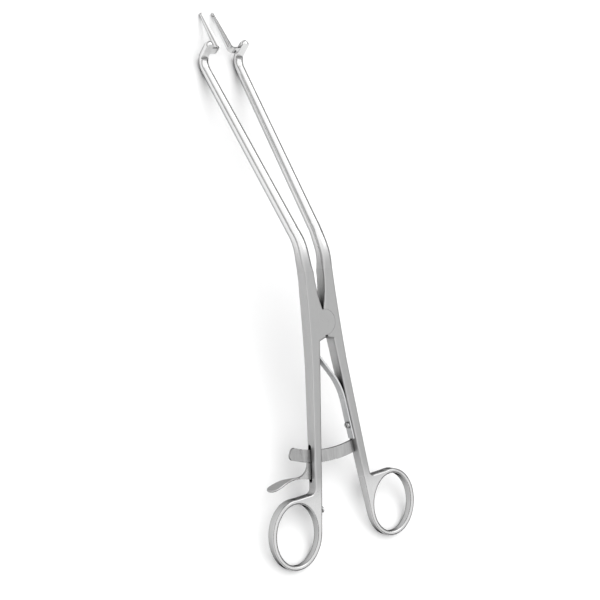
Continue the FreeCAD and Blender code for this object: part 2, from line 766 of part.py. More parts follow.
def ratchet_bar():
    """Arc bar with saw teeth on its lower edge; their steep sides stop the handles spreading."""
    body = doc.addObject("PartDesign::Body", "ratchet_bar_toothed")
    role = {item.Role: item for item in body.Origin.OriginFeatures}
    outline = body.newObject("Sketcher::SketchObject", "bar_outline")
    outline.AttachmentSupport = (role["XY_Plane"], [""])
    outline.MapMode = "FlatFace"
    root = size("bar_root_gap") - size("bar_root_angle")
    bar_outline(outline, size("bar_inner_radius"), bar_outer(), root, size("bar_tip_angle"),
                size("bar_tip_corner"))
    pad = body.newObject("PartDesign::Pad", "bar_pad")
    pad.Profile = outline
    pad.SideType = "Symmetric"
    pad.setExpression("Length", "sizes.bar_thickness")
    tooth = body.newObject("Sketcher::SketchObject", "tooth_gap")
    tooth.AttachmentSupport = (role["XY_Plane"], [""])
    tooth.MapMode = "FlatFace"
    start, depth = size("tooth_start_angle"), size("tooth_depth")
    steep = start + size("tooth_share") * size("tooth_pitch_angle")
    corners = [polar(bar_outer(), start), polar(bar_outer() - depth, steep),
               polar(bar_outer() + depth, steep), polar(bar_outer() + depth, start)]
    draw(tooth, *zip(corners, corners[1:] + corners[:1]))
    gap = body.newObject("PartDesign::Pocket", "tooth_pocket")
    gap.Profile = tooth
    gap.SideType = "Symmetric"
    gap.setExpression("Length", "2 * sizes.bar_thickness")
    doc.recompute()
    teeth = body.newObject("PartDesign::PolarPattern", "teeth")
    teeth.Originals = [gap]
    teeth.Axis = (role["Z_Axis"], [""])
    teeth.Reversed = True
    teeth.setExpression("Angle", "sizes.tooth_pitch_angle * (sizes.tooth_count - 1)")
    teeth.setExpression("Occurrences", "sizes.tooth_count")
    body.Tip = teeth
    pin_hole = cylinder("bar_pin_hole", across(bar_pin_point(), size("box_thickness")),
                        "sizes.bar_pin_diameter / 2 + sizes.fixed_gap", "sizes.box_thickness")
    bar = cut("ratchet_bar", body, pin_hole)
    bar.Placement = mechanism()
    return bar


# Release lever

# Stations of the thumb pad, from the plate out: share of the length, rise above the plate's end
# in mm, share of the full width and share of the full twist.
PAD_STATIONS = (
    (0.0, 0.0, 0.19, 0.0),
    (0.14, 0.3, 0.22, 0.6),
    (0.28, 0.45, 0.4, 1.0),
    (0.52, 0.2, 0.8, 1.0),
    (0.76, -0.75, 1.0, 1.0),
    (0.93, -1.2, 0.74, 1.0),
    (0.99, -1.2, 0.3, 1.0),
)

def lever_plate():
    """Plate with the pawl nose, the toe for its spring and the arm that leads to the pad."""
    pivot = lever_pivot()
    nose = bar_outer() + size("nose_gap")
    nose_in, nose_out = polar(nose, size("nose_inner_angle")), polar(nose, size("nose_outer_angle"))
    nose_middle = polar(nose, (size("nose_inner_angle") + size("nose_outer_angle")) / 2)
    end = pivot + Vector(-size("plate_reach"), size("plate_rise"), 0)
    high, low = (end + V * (up * size("plate_height") / 2) for up in (1, -1))
    hollow = (nose_out + high) / 2 + Vector(1, -1, 0) * size("plate_hollow")
    toe_gap = inner_normal(-1) * -size("spring_touch_gap")
    toe_low = handle_edge(-1, lever_pivot_drop() + size("toe_low")) + toe_gap
    toe_high = handle_edge(-1, lever_pivot_drop() + size("toe_high")) + toe_gap
    heel = pivot + Vector(-size("plate_heel"), -size("toe_low"), 0)
    belly = pivot + Vector(-size("plate_belly"), -size("plate_heel"), 0)
    knee = pivot + Vector(size("toe_high"), size("plate_knee"), 0)
    sketch = draw(sketch_at("lever_profile"),
                  (nose_in, nose_middle, nose_out), (nose_out, hollow, high), (high, low), (low, belly),
                  (belly, heel), (heel, toe_low), (toe_low, toe_high), (toe_high, knee), (knee, nose_in))
    return extrude("lever_plate", sketch, "sizes.lever_thickness"), end


def lever_pad(start):
    """Thumb pad: the thin arm twists and widens into a slim leaf with a round end."""
    sections = []
    for number, (share, rise, broad, turn) in enumerate(PAD_STATIONS):
        centre = start + Vector(size("pad_lap") - size("pad_length") * share, rise, 0)
        width = size("pad_width") * broad
        thick = min(size("pad_thickness"), width * size("pad_end_share"))
        twist = Rotation(W, size("pad_twist") * turn)
        place = Placement(centre, Rotation(V * -1, W, U * -1, "ZXY").multiply(twist))
        sections.append(bevelled_section("pad_section_%d" % number, place, width, thick,
                                         size("pad_bevel") * min(width, thick)))
    return loft("lever_pad", sections)


def release_lever():
    plate, end = lever_plate()
    bore = cylinder("lever_bore", across(lever_pivot(), size("box_thickness")),
                    "sizes.lever_pin_diameter / 2 + sizes.running_gap", "sizes.box_thickness")
    lever = cut("release_lever", fuse("lever_forging", plate, lever_pad(end)), bore)
    lever.Placement = mechanism()
    return lever


# Blades

def blade(side, name):
    """Half-round grooved blade, its bent foot hollowed to sit on the round side of the head."""
    base = head_place()
    flat = size("blade_offset")
    rise = size("blade_rise")
    foot_level = size("rod_length") - size("foot_step")
    bend = size("blade_bend_radius")
    tip = foot_level + size("blade_length")

    def section(label, y, width, thickness):
        """Half-round section across the blade at y."""
        place = base.multiply(Placement(Vector(0, y, rise), Rotation(U, 90)))
        low, high = Vector(side * flat, -width / 2, 0), Vector(side * flat, width / 2, 0)
        crown = Vector(side * (flat + thickness), 0, 0)
        return draw(sketch_at(label, place), (low, crown, high), (high, low))

    width, thickness = size("blade_width"), size("blade_thickness")
    tip_width, tip_thickness = size("blade_tip_width"), size("blade_tip_thickness")
    root = section(name + "_root", foot_level + bend, width, thickness)
    spine = sketch_at(name + "_spine", base.multiply(Placement(W * rise, Rotation())))
    eighth = bend * (1 - math.sqrt(0.5))
    middle = Vector(side * (flat + eighth), foot_level + eighth, 0)
    turn_end = Vector(side * (flat + bend), foot_level, 0)
    draw(spine, (Vector(side * flat, foot_level + bend, 0), middle, turn_end),
         (turn_end, Vector(side * size("rod_end_offset"), foot_level, 0)))
    foot = doc.addObject("Part::Sweep", name + "_foot")
    foot.Sections = [root]
    foot.Spine = (spine, ["Edge1", "Edge2"])
    foot.Solid = True
    foot.Frenet = False
    round_length = size("blade_tip_round")
    sections = [section(name + "_base", foot_level + bend, width, thickness)]
    for number, share in enumerate((0.0, 0.5, 0.8, 0.97)):
        scale = math.sqrt(1 - share ** 2)
        sections.append(section("%s_tip_%d" % (name, number), tip - round_length * (1 - share),
                                tip_width * scale, tip_thickness * scale))
    lance = loft(name + "_lance", sections, ruled=True)
    groove = doc.addObject("Part::Cone", name + "_groove")
    wall = size("groove_wall")
    depth = size("groove_depth")
    start = Vector(side * (flat + depth - width / 2 + wall), foot_level + bend, rise)
    end = Vector(side * (flat + depth / 2 - tip_width / 2 + wall / 2), tip - 2 * round_length, rise)
    groove.Placement = base.multiply(Placement(start, Rotation(W, end - start)))
    groove.Radius1 = width / 2 - wall
    groove.Radius2 = tip_width / 2 - wall / 2
    groove.Height = (end - start).Length
    seat_place = tongue_place(side).multiply(Placement(W * -size("heel_radius"), Rotation()))
    seat = cylinder(name + "_seat", seat_place, "sizes.rod_end_diameter / 2 + sizes.braze_gap",
                    "2 * (sizes.heel_radius + sizes.tongue_length)")
    return cut(name, fuse(name + "_bent", foot, lance), groove, seat)


# The pieces, under the names of their files

pieces = {
    "left_arm": left_arm(),
    "right_arm": right_arm(),
    "joint_pin": joint_pin(),
    "left_blade": blade(-1, "left_blade"),
    "right_blade": blade(1, "right_blade"),
    "main_spring": main_spring(),
    "main_spring_screw": spring_screw(1, "main_spring_screw", main_screw_drop(),
                                      "main_spring_thickness"),
    "ratchet_bar": ratchet_bar(),
    "ratchet_bar_pin": cross_pin("ratchet_bar_pin", bar_pin_point(), "bar_pin_diameter"),
    "release_lever": release_lever(),
    "lever_pin": cross_pin("lever_pin", lever_pivot(), "lever_pin_diameter"),
    "lever_spring": lever_spring(),
    "lever_spring_screw": spring_screw(-1, "lever_spring_screw", lever_screw_drop(),
                                       "lever_spring_thickness"),
}
doc.recompute()


def check_document():
    """Stops at the first object that failed, because a recompute doesn't."""
    for item in doc.Objects:
        if "Invalid" in item.State or "Error" in item.State:
            raise RuntimeError("%s failed: %s" % (item.Name, item.State))
    for name, piece in pieces.items():
        if piece.Shape.isNull() or not piece.Shape.isValid():
            raise RuntimeError("%s has no valid shape" % name)


check_document()


# Rest placement

def outline_points():
    """Points of the pieces that can touch the table, before the instrument is laid down."""
    points = []
    for name in ("left_arm", "right_arm", "left_blade", "right_blade"):
        points.extend(pieces[name].Shape.tessellate(0.05)[0])
    return points


def rest_tilt(points):
    """Angle that brings the rings and the heads down to one level."""
    low, high = 0.0, 45.0
    for step in range(40):
        middle = (low + high) / 2
        turn = Rotation(U, middle)
        rings = min(turn.multVec(p).z for p in points if p.y < 0)
        heads = min(turn.multVec(p).z for p in points if p.y > 0)
        if heads < rings:
            low = middle
        else:
            high = middle
    return (low + high) / 2


touching = outline_points()
tilt = rest_tilt(touching)
turned = [Rotation(U, tilt).multVec(point) for point in touching]
middle_y = (min(p.y for p in turned) + max(p.y for p in turned)) / 2
floor = min(p.z for p in turned)
rest = Placement(Vector(0, -middle_y, -floor), Rotation(U, tilt))

for name, piece in pieces.items():
    piece.Label = name
    piece.Placement = rest.multiply(piece.Placement)
doc.recompute()

check_document()

os.makedirs("parts", exist_ok=True)
for name, piece in pieces.items():
    piece.Shape.exportStep("parts/%s.step" % name)
    box = piece.Shape.BoundBox
    print("%-18s solids %d  volume %9.2f  x %.1f..%.1f  y %.1f..%.1f  z %.1f..%.1f" % (
        name, len(piece.Shape.Solids), piece.Shape.Volume,
        box.XMin, box.XMax, box.YMin, box.YMax, box.ZMin, box.ZMax))
pivot = rest.multVec(Vector())
print("tilt %.3f  pivot %.3f %.3f %.3f" % (tilt, pivot.x, pivot.y, pivot.z))
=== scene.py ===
# %% [markdown]
# # A sprung, ratcheted speculum in stainless steel
# The object is a pair of ring handles that cross at a slotted joint and go on as two long thin
# shanks. Two short heads at their ends carry a blade each. A leaf spring holds the handles
# apart, and a toothed bar with a release lever holds them where the user leaves them.
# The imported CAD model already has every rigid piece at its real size. This lesson dresses it:
# it gives each piece its steel finish, remakes the springs and the screws with the detail that
# a CAD solid leaves out, and lights the whole like a catalogue photograph.

import json
import math

import bpy
from mathutils import Matrix, Vector


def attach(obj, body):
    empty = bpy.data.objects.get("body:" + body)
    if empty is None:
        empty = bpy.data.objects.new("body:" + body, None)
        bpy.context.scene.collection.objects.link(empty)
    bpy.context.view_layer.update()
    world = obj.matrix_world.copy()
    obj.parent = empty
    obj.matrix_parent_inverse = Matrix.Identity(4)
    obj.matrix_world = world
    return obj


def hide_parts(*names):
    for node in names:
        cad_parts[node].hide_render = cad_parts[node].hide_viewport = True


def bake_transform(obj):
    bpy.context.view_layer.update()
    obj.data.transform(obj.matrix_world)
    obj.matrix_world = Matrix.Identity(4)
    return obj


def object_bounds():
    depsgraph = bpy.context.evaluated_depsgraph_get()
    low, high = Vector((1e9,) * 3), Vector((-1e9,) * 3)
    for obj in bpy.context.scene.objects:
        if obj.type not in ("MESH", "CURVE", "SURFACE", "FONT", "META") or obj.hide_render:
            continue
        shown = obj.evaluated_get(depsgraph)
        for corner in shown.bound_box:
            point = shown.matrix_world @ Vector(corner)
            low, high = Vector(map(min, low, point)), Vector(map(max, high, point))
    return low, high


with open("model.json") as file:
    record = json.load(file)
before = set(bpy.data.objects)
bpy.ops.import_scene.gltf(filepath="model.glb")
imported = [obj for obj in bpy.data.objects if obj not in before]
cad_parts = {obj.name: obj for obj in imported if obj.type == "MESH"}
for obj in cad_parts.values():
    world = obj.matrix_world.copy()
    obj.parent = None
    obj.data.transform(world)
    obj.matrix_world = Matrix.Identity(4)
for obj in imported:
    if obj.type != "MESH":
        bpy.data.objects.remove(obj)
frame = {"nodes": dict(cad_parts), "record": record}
cad_low, cad_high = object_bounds()
print("CAD box in mm:", [round(1000 * x, 1) for x in (*cad_low, *cad_high)])

# %% [markdown]
# ## Working in the plane of the handles
# The instrument lies with its rings and its heads low and its joint high, so its handles slope.
# Sizes on it are easier to read from the joint: `across` to the right, `along` towards the
# blades and `front` out of the front face. The joint's own axis in the record gives that frame,
# so nothing has to be typed twice.

# %% The joint's frame
MM = 0.001
hinges = {joint["name"]: joint for joint in frame["record"]["behaviour"]["joints"]}
PIVOT = Vector(hinges["arm_hinge"]["pos_m"])
FRONT = -Vector(hinges["arm_hinge"]["axis"])
ACROSS = Vector((1, 0, 0))
ALONG = FRONT.cross(ACROSS)


def direction(across, along, front=0.0):
    return ACROSS * across + ALONG * along + FRONT * front


def place(across, along, front=0.0):
    """Point in metres from three distances in millimetres from the joint."""
    return PIVOT + direction(across, along, front) * MM


print("joint at", [round(x, 4) for x in PIVOT], "front", [round(x, 3) for x in FRONT])

# %% [markdown]
# ## The camera
# The photograph looks down on the instrument from its left, a little rolled, through a long
# lens. The camera's three axes are set directly as the columns of its matrix: right, up and
# backwards. That keeps the roll, which aiming the camera at a point would lose. The place was
# read between the centres of pixels, so the lens is shifted by half a pixel.

# %% Camera
PHOTO_SIZE = 600
PHOTO_FOCAL = 1177.6
SENSOR = 36.0
HALF_PIXEL = 0.5 / PHOTO_SIZE
CAMERA_PLACE = place(-352.034, 65.512, 438.226)
LOOK = direction(0.6116, -0.0957, -0.7854).normalized()
CAMERA_UP = direction(0.1539, 0.9881, -0.0005)

camera_right = LOOK.cross(CAMERA_UP).normalized()
camera_up = camera_right.cross(LOOK)
camera_data = bpy.data.cameras.new("photo_camera")
camera_data.sensor_width = SENSOR
camera_data.lens = SENSOR * PHOTO_FOCAL / PHOTO_SIZE
camera_data.shift_x, camera_data.shift_y = -HALF_PIXEL, HALF_PIXEL
camera_data.clip_start = 0.01
camera = bpy.data.objects.new("photo_camera", camera_data)
bpy.context.scene.collection.objects.link(camera)
turn = Matrix((camera_right, camera_up, -LOOK)).transposed().to_4x4()
camera.matrix_world = Matrix.Translation(CAMERA_PLACE) @ turn
bpy.context.scene.camera = camera
print("lens", round(camera_data.lens, 1), "mm")

# %% [markdown]
# ## Modelling by hand
# Every new piece starts as a primitive and is shaped in edit mode. Operators act on whatever is
# selected, so the first helper clears the selection, and the next ones add a start shape,
# select faces by where they are, and finish a piece by applying its modifiers and its place.

# %% Helpers for modelling
SAME_PLACE = 1e-6
NEARLY_ALONG = 0.9


def clear_selection():
    bpy.ops.object.select_all(action="DESELECT")


def turned_to(normal, side):
    """Rotation whose Z is the normal and whose X is the side."""
    z = normal.normalized()
    x = (side - z * side.dot(z)).normalized()
    return Matrix((x, z.cross(x), z)).transposed()


def start_cylinder(name, centre, axis, radius, depth, sides=48):
    clear_selection()
    turn = turned_to(axis, FRONT if abs(axis.normalized().dot(FRONT)) < NEARLY_ALONG else ACROSS)
    bpy.ops.mesh.primitive_cylinder_add(vertices=sides, radius=radius, depth=depth,
                                        location=centre, rotation=turn.to_euler())
    made = bpy.context.object
    made.name = made.data.name = name
    return made


def start_section(name, centre, along, thick_way, thickness, width):
    """Flat rectangle that is the cross section of a strip."""
    clear_selection()
    turn = turned_to(along, thick_way)
    bpy.ops.mesh.primitive_plane_add(size=1, location=centre, rotation=turn.to_euler())
    made = bpy.context.object
    made.name = made.data.name = name
    made.scale = (thickness, width, 1)
    return settle(made)


def settle(piece):
    """Puts the piece's place, turn and scale into its mesh."""
    clear_selection()
    piece.select_set(True)
    bpy.context.view_layer.objects.active = piece
    bpy.ops.object.transform_apply(location=True, rotation=True, scale=True)
    return piece


def apply_modifier(piece, kind, **settings):
    clear_selection()
    piece.select_set(True)
    bpy.context.view_layer.objects.active = piece
    modifier = piece.modifiers.new(kind.lower(), kind)
    for key, value in settings.items():
        setattr(modifier, key, value)
    bpy.ops.object.modifier_apply(modifier=modifier.name)


def soften(piece, width, segments=3, angle=35):
    """Rounds the sharp edges."""
    apply_modifier(piece, "BEVEL", width=width, segments=segments, limit_method="ANGLE",
                   angle_limit=math.radians(angle), harden_normals=False)


def subtract(piece, tool):
    apply_modifier(piece, "BOOLEAN", operation="DIFFERENCE", object=tool, solver="EXACT")
    bpy.data.objects.remove(tool)


def close_up(piece, angle=30):
    """Merges doubles, turns all faces outwards and shades the smooth stretches smooth."""
    clear_selection()
    piece.select_set(True)
    bpy.context.view_layer.objects.active = piece
    bpy.ops.object.mode_set(mode="EDIT")
    bpy.ops.mesh.select_all(action="SELECT")
    bpy.ops.mesh.remove_doubles(threshold=SAME_PLACE)
    bpy.ops.mesh.normals_make_consistent(inside=False)
    bpy.ops.object.mode_set(mode="OBJECT")
    bpy.ops.object.shade_smooth_by_angle(angle=math.radians(angle))
    print(piece.name, "has", len(piece.data.polygons), "faces")
    return piece


# %% [markdown]
# ## Shared effects
# Steel never has one flat colour. Fine lines from the polishing wheel scatter the light along
# one direction, handling leaves faint clouds in the gloss, and corners are rubbed smooth.
# Each effect is a node group with named sockets, built once and placed in every steel with its
# own values, so one change to a group reaches the whole instrument.

# %% Helpers for node trees
MIX_FIRST, MIX_SECOND, MIX_RESULT = 6, 7, 2


def node(tree, kind, **settings):
    """Adds a node. A setting whose name is a socket sets it or, if it is an output, links it."""
    made = tree.nodes.new(kind)
    for key, value in settings.items():
        if key in made.inputs.keys():
            socket = made.inputs[key]
            if isinstance(value, bpy.types.NodeSocket):
                tree.links.new(value, socket)
            else:
                socket.default_value = value
        else:
            setattr(made, key, value)
    return made


def math_node(tree, operation, first, second=0.0, clamp=False):
    made = tree.nodes.new("ShaderNodeMath")
    made.operation = operation
    made.use_clamp = clamp
    for socket, value in zip(made.inputs, (first, second)):
        if isinstance(value, bpy.types.NodeSocket):
            tree.links.new(value, socket)
        else:
            socket.default_value = value
    return made.outputs[0]


def remap(tree, value, low, high, to_low=0.0, to_high=1.0):
    made = node(tree, "ShaderNodeMapRange", interpolation_type="SMOOTHSTEP", Value=value)
    for key, number in (("From Min", low), ("From Max", high), ("To Min", to_low), ("To Max", to_high)):
        if isinstance(number, bpy.types.NodeSocket):
            tree.links.new(number, made.inputs[key])
        else:
            made.inputs[key].default_value = number
    return made.outputs["Result"]


def mix_colours(tree, factor, first, second):
    """Colour between two colours, each of which is a socket or a plain colour."""
    made = node(tree, "ShaderNodeMix", data_type="RGBA")
    tree.links.new(factor, made.inputs["Factor"])
    for number, colour in ((MIX_FIRST, first), (MIX_SECOND, second)):
        if isinstance(colour, bpy.types.NodeSocket):
            tree.links.new(colour, made.inputs[number])
        else:
            made.inputs[number].default_value = colour
    return made.outputs[MIX_RESULT]


def new_group(name, inputs, outputs):
    group = bpy.data.node_groups.new(name, "ShaderNodeTree")
    for way, sockets in (("INPUT", inputs), ("OUTPUT", outputs)):
        for label, kind, value in sockets:
            socket = group.interface.new_socket(label, in_out=way, socket_type="NodeSocket" + kind)
            if value is not None and way == "INPUT":
                socket.default_value = value
    return group, group.nodes.new("NodeGroupInput"), group.nodes.new("NodeGroupOutput")


# %% [markdown]
# ### Polishing lines
# A belt or a wheel leaves lines that run one way. Noise that is stretched along them looks the
# same: its coordinates are multiplied by a small number along the lines and a large one across.

# %% Group: polishing lines
lines_group, lines_in, lines_out = new_group(
    "polishing_lines",
    [("Coordinates", "Vector", None), ("Stretch", "Vector", (1500.0, 60.0, 1500.0))],
    [("Fine", "Float", None), ("Coarse", "Float", None)])
stretched = node(lines_group, "ShaderNodeVectorMath", operation="MULTIPLY")
lines_group.links.new(lines_in.outputs["Coordinates"], stretched.inputs[0])
lines_group.links.new(lines_in.outputs["Stretch"], stretched.inputs[1])
for label, scale, detail in (("Fine", 2.4, 3.0), ("Coarse", 0.7, 2.0)):
    noise = node(lines_group, "ShaderNodeTexNoise", Vector=stretched.outputs[0], Scale=scale,
                 Detail=detail)
    lines_group.links.new(noise.outputs["Fac"], lines_out.inputs[label])
print("group", lines_group.name)

# %% [markdown]
# ### Clouds of handling
# Washing, drying and fingers leave patches a few millimetres wide in which the gloss differs a
# little. A soft noise gives them, with a second, larger one that keeps them from repeating.

# %% Group: clouds of handling
LARGE_CLOUDS = 0.23
CLOUD_LOW, CLOUD_HIGH = 0.36, 0.64
clouds_group, clouds_in, clouds_out = new_group(
    "handling_clouds",
    [("Coordinates", "Vector", None), ("Scale", "Float", 160.0)],
    [("Cloud", "Float", None)])
small = node(clouds_group, "ShaderNodeTexNoise", Vector=clouds_in.outputs["Coordinates"],
             Scale=clouds_in.outputs["Scale"], Detail=4.0)
large_scale = math_node(clouds_group, "MULTIPLY", clouds_in.outputs["Scale"], LARGE_CLOUDS)
large = node(clouds_group, "ShaderNodeTexNoise", Vector=clouds_in.outputs["Coordinates"],
             Scale=large_scale, Detail=2.0)
both = math_node(clouds_group, "ADD", small.outputs["Fac"], large.outputs["Fac"])
halved = math_node(clouds_group, "MULTIPLY", both, 0.5)
clouds_group.links.new(remap(clouds_group, halved, CLOUD_LOW, CLOUD_HIGH), clouds_out.inputs["Cloud"])
print("group", clouds_group.name)

# %% [markdown]
# ### Rubbed edges and painted edge shade
# Corners rub against trays and towels, so they are smoother than the faces beside them and,
# on small pieces, brighter. On the satin arms the edge colour is a painted dark line of shade
# instead. The Bevel node gives the normal that a rounded edge would have. Where it leaves the
# face's own normal, there is an edge nearby, whatever the mesh looks like.

# %% Group: rubbed edges and painted edge shade
SAME_WAY, OTHER_WAY = 0.995, 0.86
edges_group, edges_in, edges_out = new_group(
    "rubbed_and_painted_dark_edges",
    [("Radius", "Float", 0.0004), ("Strength", "Float", 1.0)],
    [("Edge", "Float", None)])
rounded = node(edges_group, "ShaderNodeBevel", samples=4, Radius=edges_in.outputs["Radius"])
own = node(edges_group, "ShaderNodeNewGeometry")
agreement = node(edges_group, "ShaderNodeVectorMath", operation="DOT_PRODUCT")
edges_group.links.new(rounded.outputs["Normal"], agreement.inputs[0])
edges_group.links.new(own.outputs["Normal"], agreement.inputs[1])
near_edge = remap(edges_group, agreement.outputs["Value"], SAME_WAY, OTHER_WAY)
strong = math_node(edges_group, "MULTIPLY", near_edge, edges_in.outputs["Strength"], clamp=True)
edges_group.links.new(strong, edges_out.inputs["Edge"])
print("group", edges_group.name)

# %% [markdown]
# ### Painted shade in recesses
# A slot, a screw seat or the narrow end of the V between the arms gets little light, and this
# group paints that shade into the colour. The Ambient Occlusion node looks how much of the
# surroundings a point sees within a few millimetres, and a remap turns that into a share of the colour.

# %% Group: painted shade in recesses
CLOSED_IN, OPEN_AROUND = 0.15, 0.85
painted_shade_group, painted_shade_in, painted_shade_out = new_group(
    "painted_shade_in_recesses",
    [("Reach", "Float", 0.006), ("Darkest", "Float", 0.3)],
    [("Share", "Float", None)])
seen = node(painted_shade_group, "ShaderNodeAmbientOcclusion", samples=8, Distance=painted_shade_in.outputs["Reach"])
open_share = remap(painted_shade_group, seen.outputs["AO"], CLOSED_IN, OPEN_AROUND,
                   painted_shade_in.outputs["Darkest"], 1.0)
painted_shade_group.links.new(open_share, painted_shade_out.inputs["Share"])
print("group", painted_shade_group.name)

# %% [markdown]
# ### One steel surface
# This group joins the four effects. It puts out a colour, a roughness and a height, which the
# material's own Principled shader and Bump node take up. Metal's colour is its reflection, so
# the colour only varies by a few hundredths.

# %% Group: steel surface
NOISE_MEAN = 0.5
CLOUD_WEIGHT = 0.6
EDGE_SMOOTHING = 0.7
steel_group, steel_in, steel_out = new_group(
    "steel_surface",
    [("Stretch", "Vector", (1500.0, 60.0, 1500.0)), ("Colour", "Color", (0.6, 0.6, 0.61, 1.0)),
     ("Edge Wear And Shade Colour", "Color", (0.8, 0.8, 0.8, 1.0)), ("Roughness", "Float", 0.3),
     ("Spread", "Float", 0.08), ("Shade", "Float", 0.1), ("Edge Radius", "Float", 0.0004),
     ("Edge Wear And Shade", "Float", 0.6), ("Painted Shade Reach", "Float", 0.006), ("Painted Recess Shade", "Float", 0.3)],
    [("Colour", "Color", None), ("Roughness", "Float", None), ("Height", "Float", None)])
coordinates = node(steel_group, "ShaderNodeTexCoord").outputs["Object"]
lines = node(steel_group, "ShaderNodeGroup", node_tree=lines_group)
clouds = node(steel_group, "ShaderNodeGroup", node_tree=clouds_group)
edges = node(steel_group, "ShaderNodeGroup", node_tree=edges_group)
painted_shade = node(steel_group, "ShaderNodeGroup", node_tree=painted_shade_group)
for source, socket in ((coordinates, lines.inputs["Coordinates"]),
                       (coordinates, clouds.inputs["Coordinates"]),
                       (steel_in.outputs["Stretch"], lines.inputs["Stretch"]),
                       (steel_in.outputs["Edge Radius"], edges.inputs["Radius"]),
                       (steel_in.outputs["Edge Wear And Shade"], edges.inputs["Strength"]),
                       (steel_in.outputs["Painted Shade Reach"], painted_shade.inputs["Reach"]),
                       (steel_in.outputs["Painted Recess Shade"], painted_shade.inputs["Darkest"])):
    steel_group.links.new(source, socket)

fine_swing = math_node(steel_group, "SUBTRACT", lines.outputs["Fine"], NOISE_MEAN)
coarse_swing = math_node(steel_group, "SUBTRACT", lines.outputs["Coarse"], NOISE_MEAN)
swing = math_node(steel_group, "ADD", fine_swing, coarse_swing)
cloud_swing = math_node(steel_group, "SUBTRACT", clouds.outputs["Cloud"], NOISE_MEAN)
soft_swing = math_node(steel_group, "MULTIPLY", cloud_swing, CLOUD_WEIGHT)
shade_swing = math_node(steel_group, "ADD", soft_swing, swing)
shade = math_node(steel_group, "MULTIPLY", shade_swing, steel_in.outputs["Shade"])
brightness = math_node(steel_group, "ADD", shade, 1.0)
shaded = node(steel_group, "ShaderNodeVectorMath", operation="SCALE")
steel_group.links.new(steel_in.outputs["Colour"], shaded.inputs[0])
steel_group.links.new(brightness, shaded.inputs["Scale"])
# Near edges the colour turns to the edge colour: brighter wear on small pieces, a painted dark line of
# shade on the satin arms.
worn_and_shaded_colour = mix_colours(steel_group, edges.outputs["Edge"], shaded.outputs[0],
                   steel_in.outputs["Edge Wear And Shade Colour"])
# Painted shade: the colour is scaled down where a point sees little of its surroundings.
painted_shade_colour = node(steel_group, "ShaderNodeVectorMath", operation="SCALE")
steel_group.links.new(worn_and_shaded_colour, painted_shade_colour.inputs[0])
steel_group.links.new(painted_shade.outputs["Share"], painted_shade_colour.inputs["Scale"])
steel_group.links.new(painted_shade_colour.outputs[0], steel_out.inputs["Colour"])

gloss_swing = math_node(steel_group, "ADD", cloud_swing, swing)
gloss_change = math_node(steel_group, "MULTIPLY", gloss_swing, steel_in.outputs["Spread"])
gloss = math_node(steel_group, "ADD", steel_in.outputs["Roughness"], gloss_change)
smoother = remap(steel_group, edges.outputs["Edge"], 0.0, 1.0, 1.0, EDGE_SMOOTHING)
steel_group.links.new(math_node(steel_group, "MULTIPLY", gloss, smoother, clamp=True),
                      steel_out.inputs["Roughness"])
steel_group.links.new(math_node(steel_group, "ADD", lines.outputs["Fine"], lines.outputs["Coarse"]),
                      steel_out.inputs["Height"])
print("group", steel_group.name)

# %% [markdown]
# ## The steels
# One function makes each finish from the group: a colour, how rough it is, how deep its lines
# are and which way they run. Metallic and the tint of the rim are the same all over, so they are
# set on the shader itself. A black rim tint gives the round pieces their dark outline.

# %% Helper: a steel
RIM_TINT = 0.0
LINES_ALONG = (1500.0, 50.0, 1500.0)
LINES_OF_THE_BAR = (700.0, 40.0, 40.0)
GRAIN_ALL_WAYS = (900.0, 900.0, 900.0)


def grey(level, cool=0.0):
    return (level * (1 - cool), level, level * (1 + cool), 1.0)


def new_steel(name, colour, roughness, spread=0.06, shade=0.10, stretch=LINES_ALONG, depth=0.000004,
              edge_wear_and_shade_colour=grey(0.72), edge_wear_and_shade=0.3, painted_shade_reach=0.006, painted_recess_shade=0.3):
    material = bpy.data.materials.new(name)
    material.use_nodes = True
    tree = material.node_tree
    shader = tree.nodes["Principled BSDF"]
    shader.inputs["Metallic"].default_value = 1.0
    shader.inputs["Specular Tint"].default_value = grey(RIM_TINT)
    surface = node(tree, "ShaderNodeGroup", node_tree=steel_group)
    for label, value in (("Stretch", stretch), ("Colour", colour), ("Edge Wear And Shade Colour", edge_wear_and_shade_colour),
                         ("Roughness", roughness), ("Spread", spread), ("Shade", shade),
                         ("Edge Wear And Shade", edge_wear_and_shade), ("Painted Shade Reach", painted_shade_reach),
                         ("Painted Recess Shade", painted_recess_shade)):
        surface.inputs[label].default_value = value
    bump = node(tree, "ShaderNodeBump", Distance=depth, Height=surface.outputs["Height"])
    tree.links.new(surface.outputs["Colour"], shader.inputs["Base Color"])
    tree.links.new(surface.outputs["Roughness"], shader.inputs["Roughness"])
    tree.links.new(bump.outputs["Normal"], shader.inputs["Normal"])
    print("material", name)
    return material, surface


def dress(name, material):
    """Gives a CAD node the material in every slot that it has."""
    mesh = frame["nodes"][name].data
    if not mesh.materials:
        mesh.materials.append(material)
    for number in range(len(mesh.materials)):
        mesh.materials[number] = material


# %% [markdown]
# ### The forged arms
# Each arm is one forging, but not one finish. The handles and the joint are glass-beaded to a
# soft grey satin that doesn't dazzle in the lamp, while the rings, the shanks and the heads are
# polished. A mask along the arm mixes the two, with a soft border where the wheel ran out. The
# satin sides are painted a little lighter than the faces: painted light for the light they catch.

# %% Arms: satin handles, polished rings and shanks
RING_TOP = place(0, -79).y
BEND = place(0, 35).y
BORDER = 0.009
SATIN_ROUGHNESS, POLISHED_ROUGHNESS = 0.42, 0.17
RING_GREY, SHANK_GREY = 0.51, 0.70
PAINTED_LIGHT_SIDE_GREY, FACE_GREY = 0.47, 0.37
SLANTED, SQUARE = 0.75, 0.98
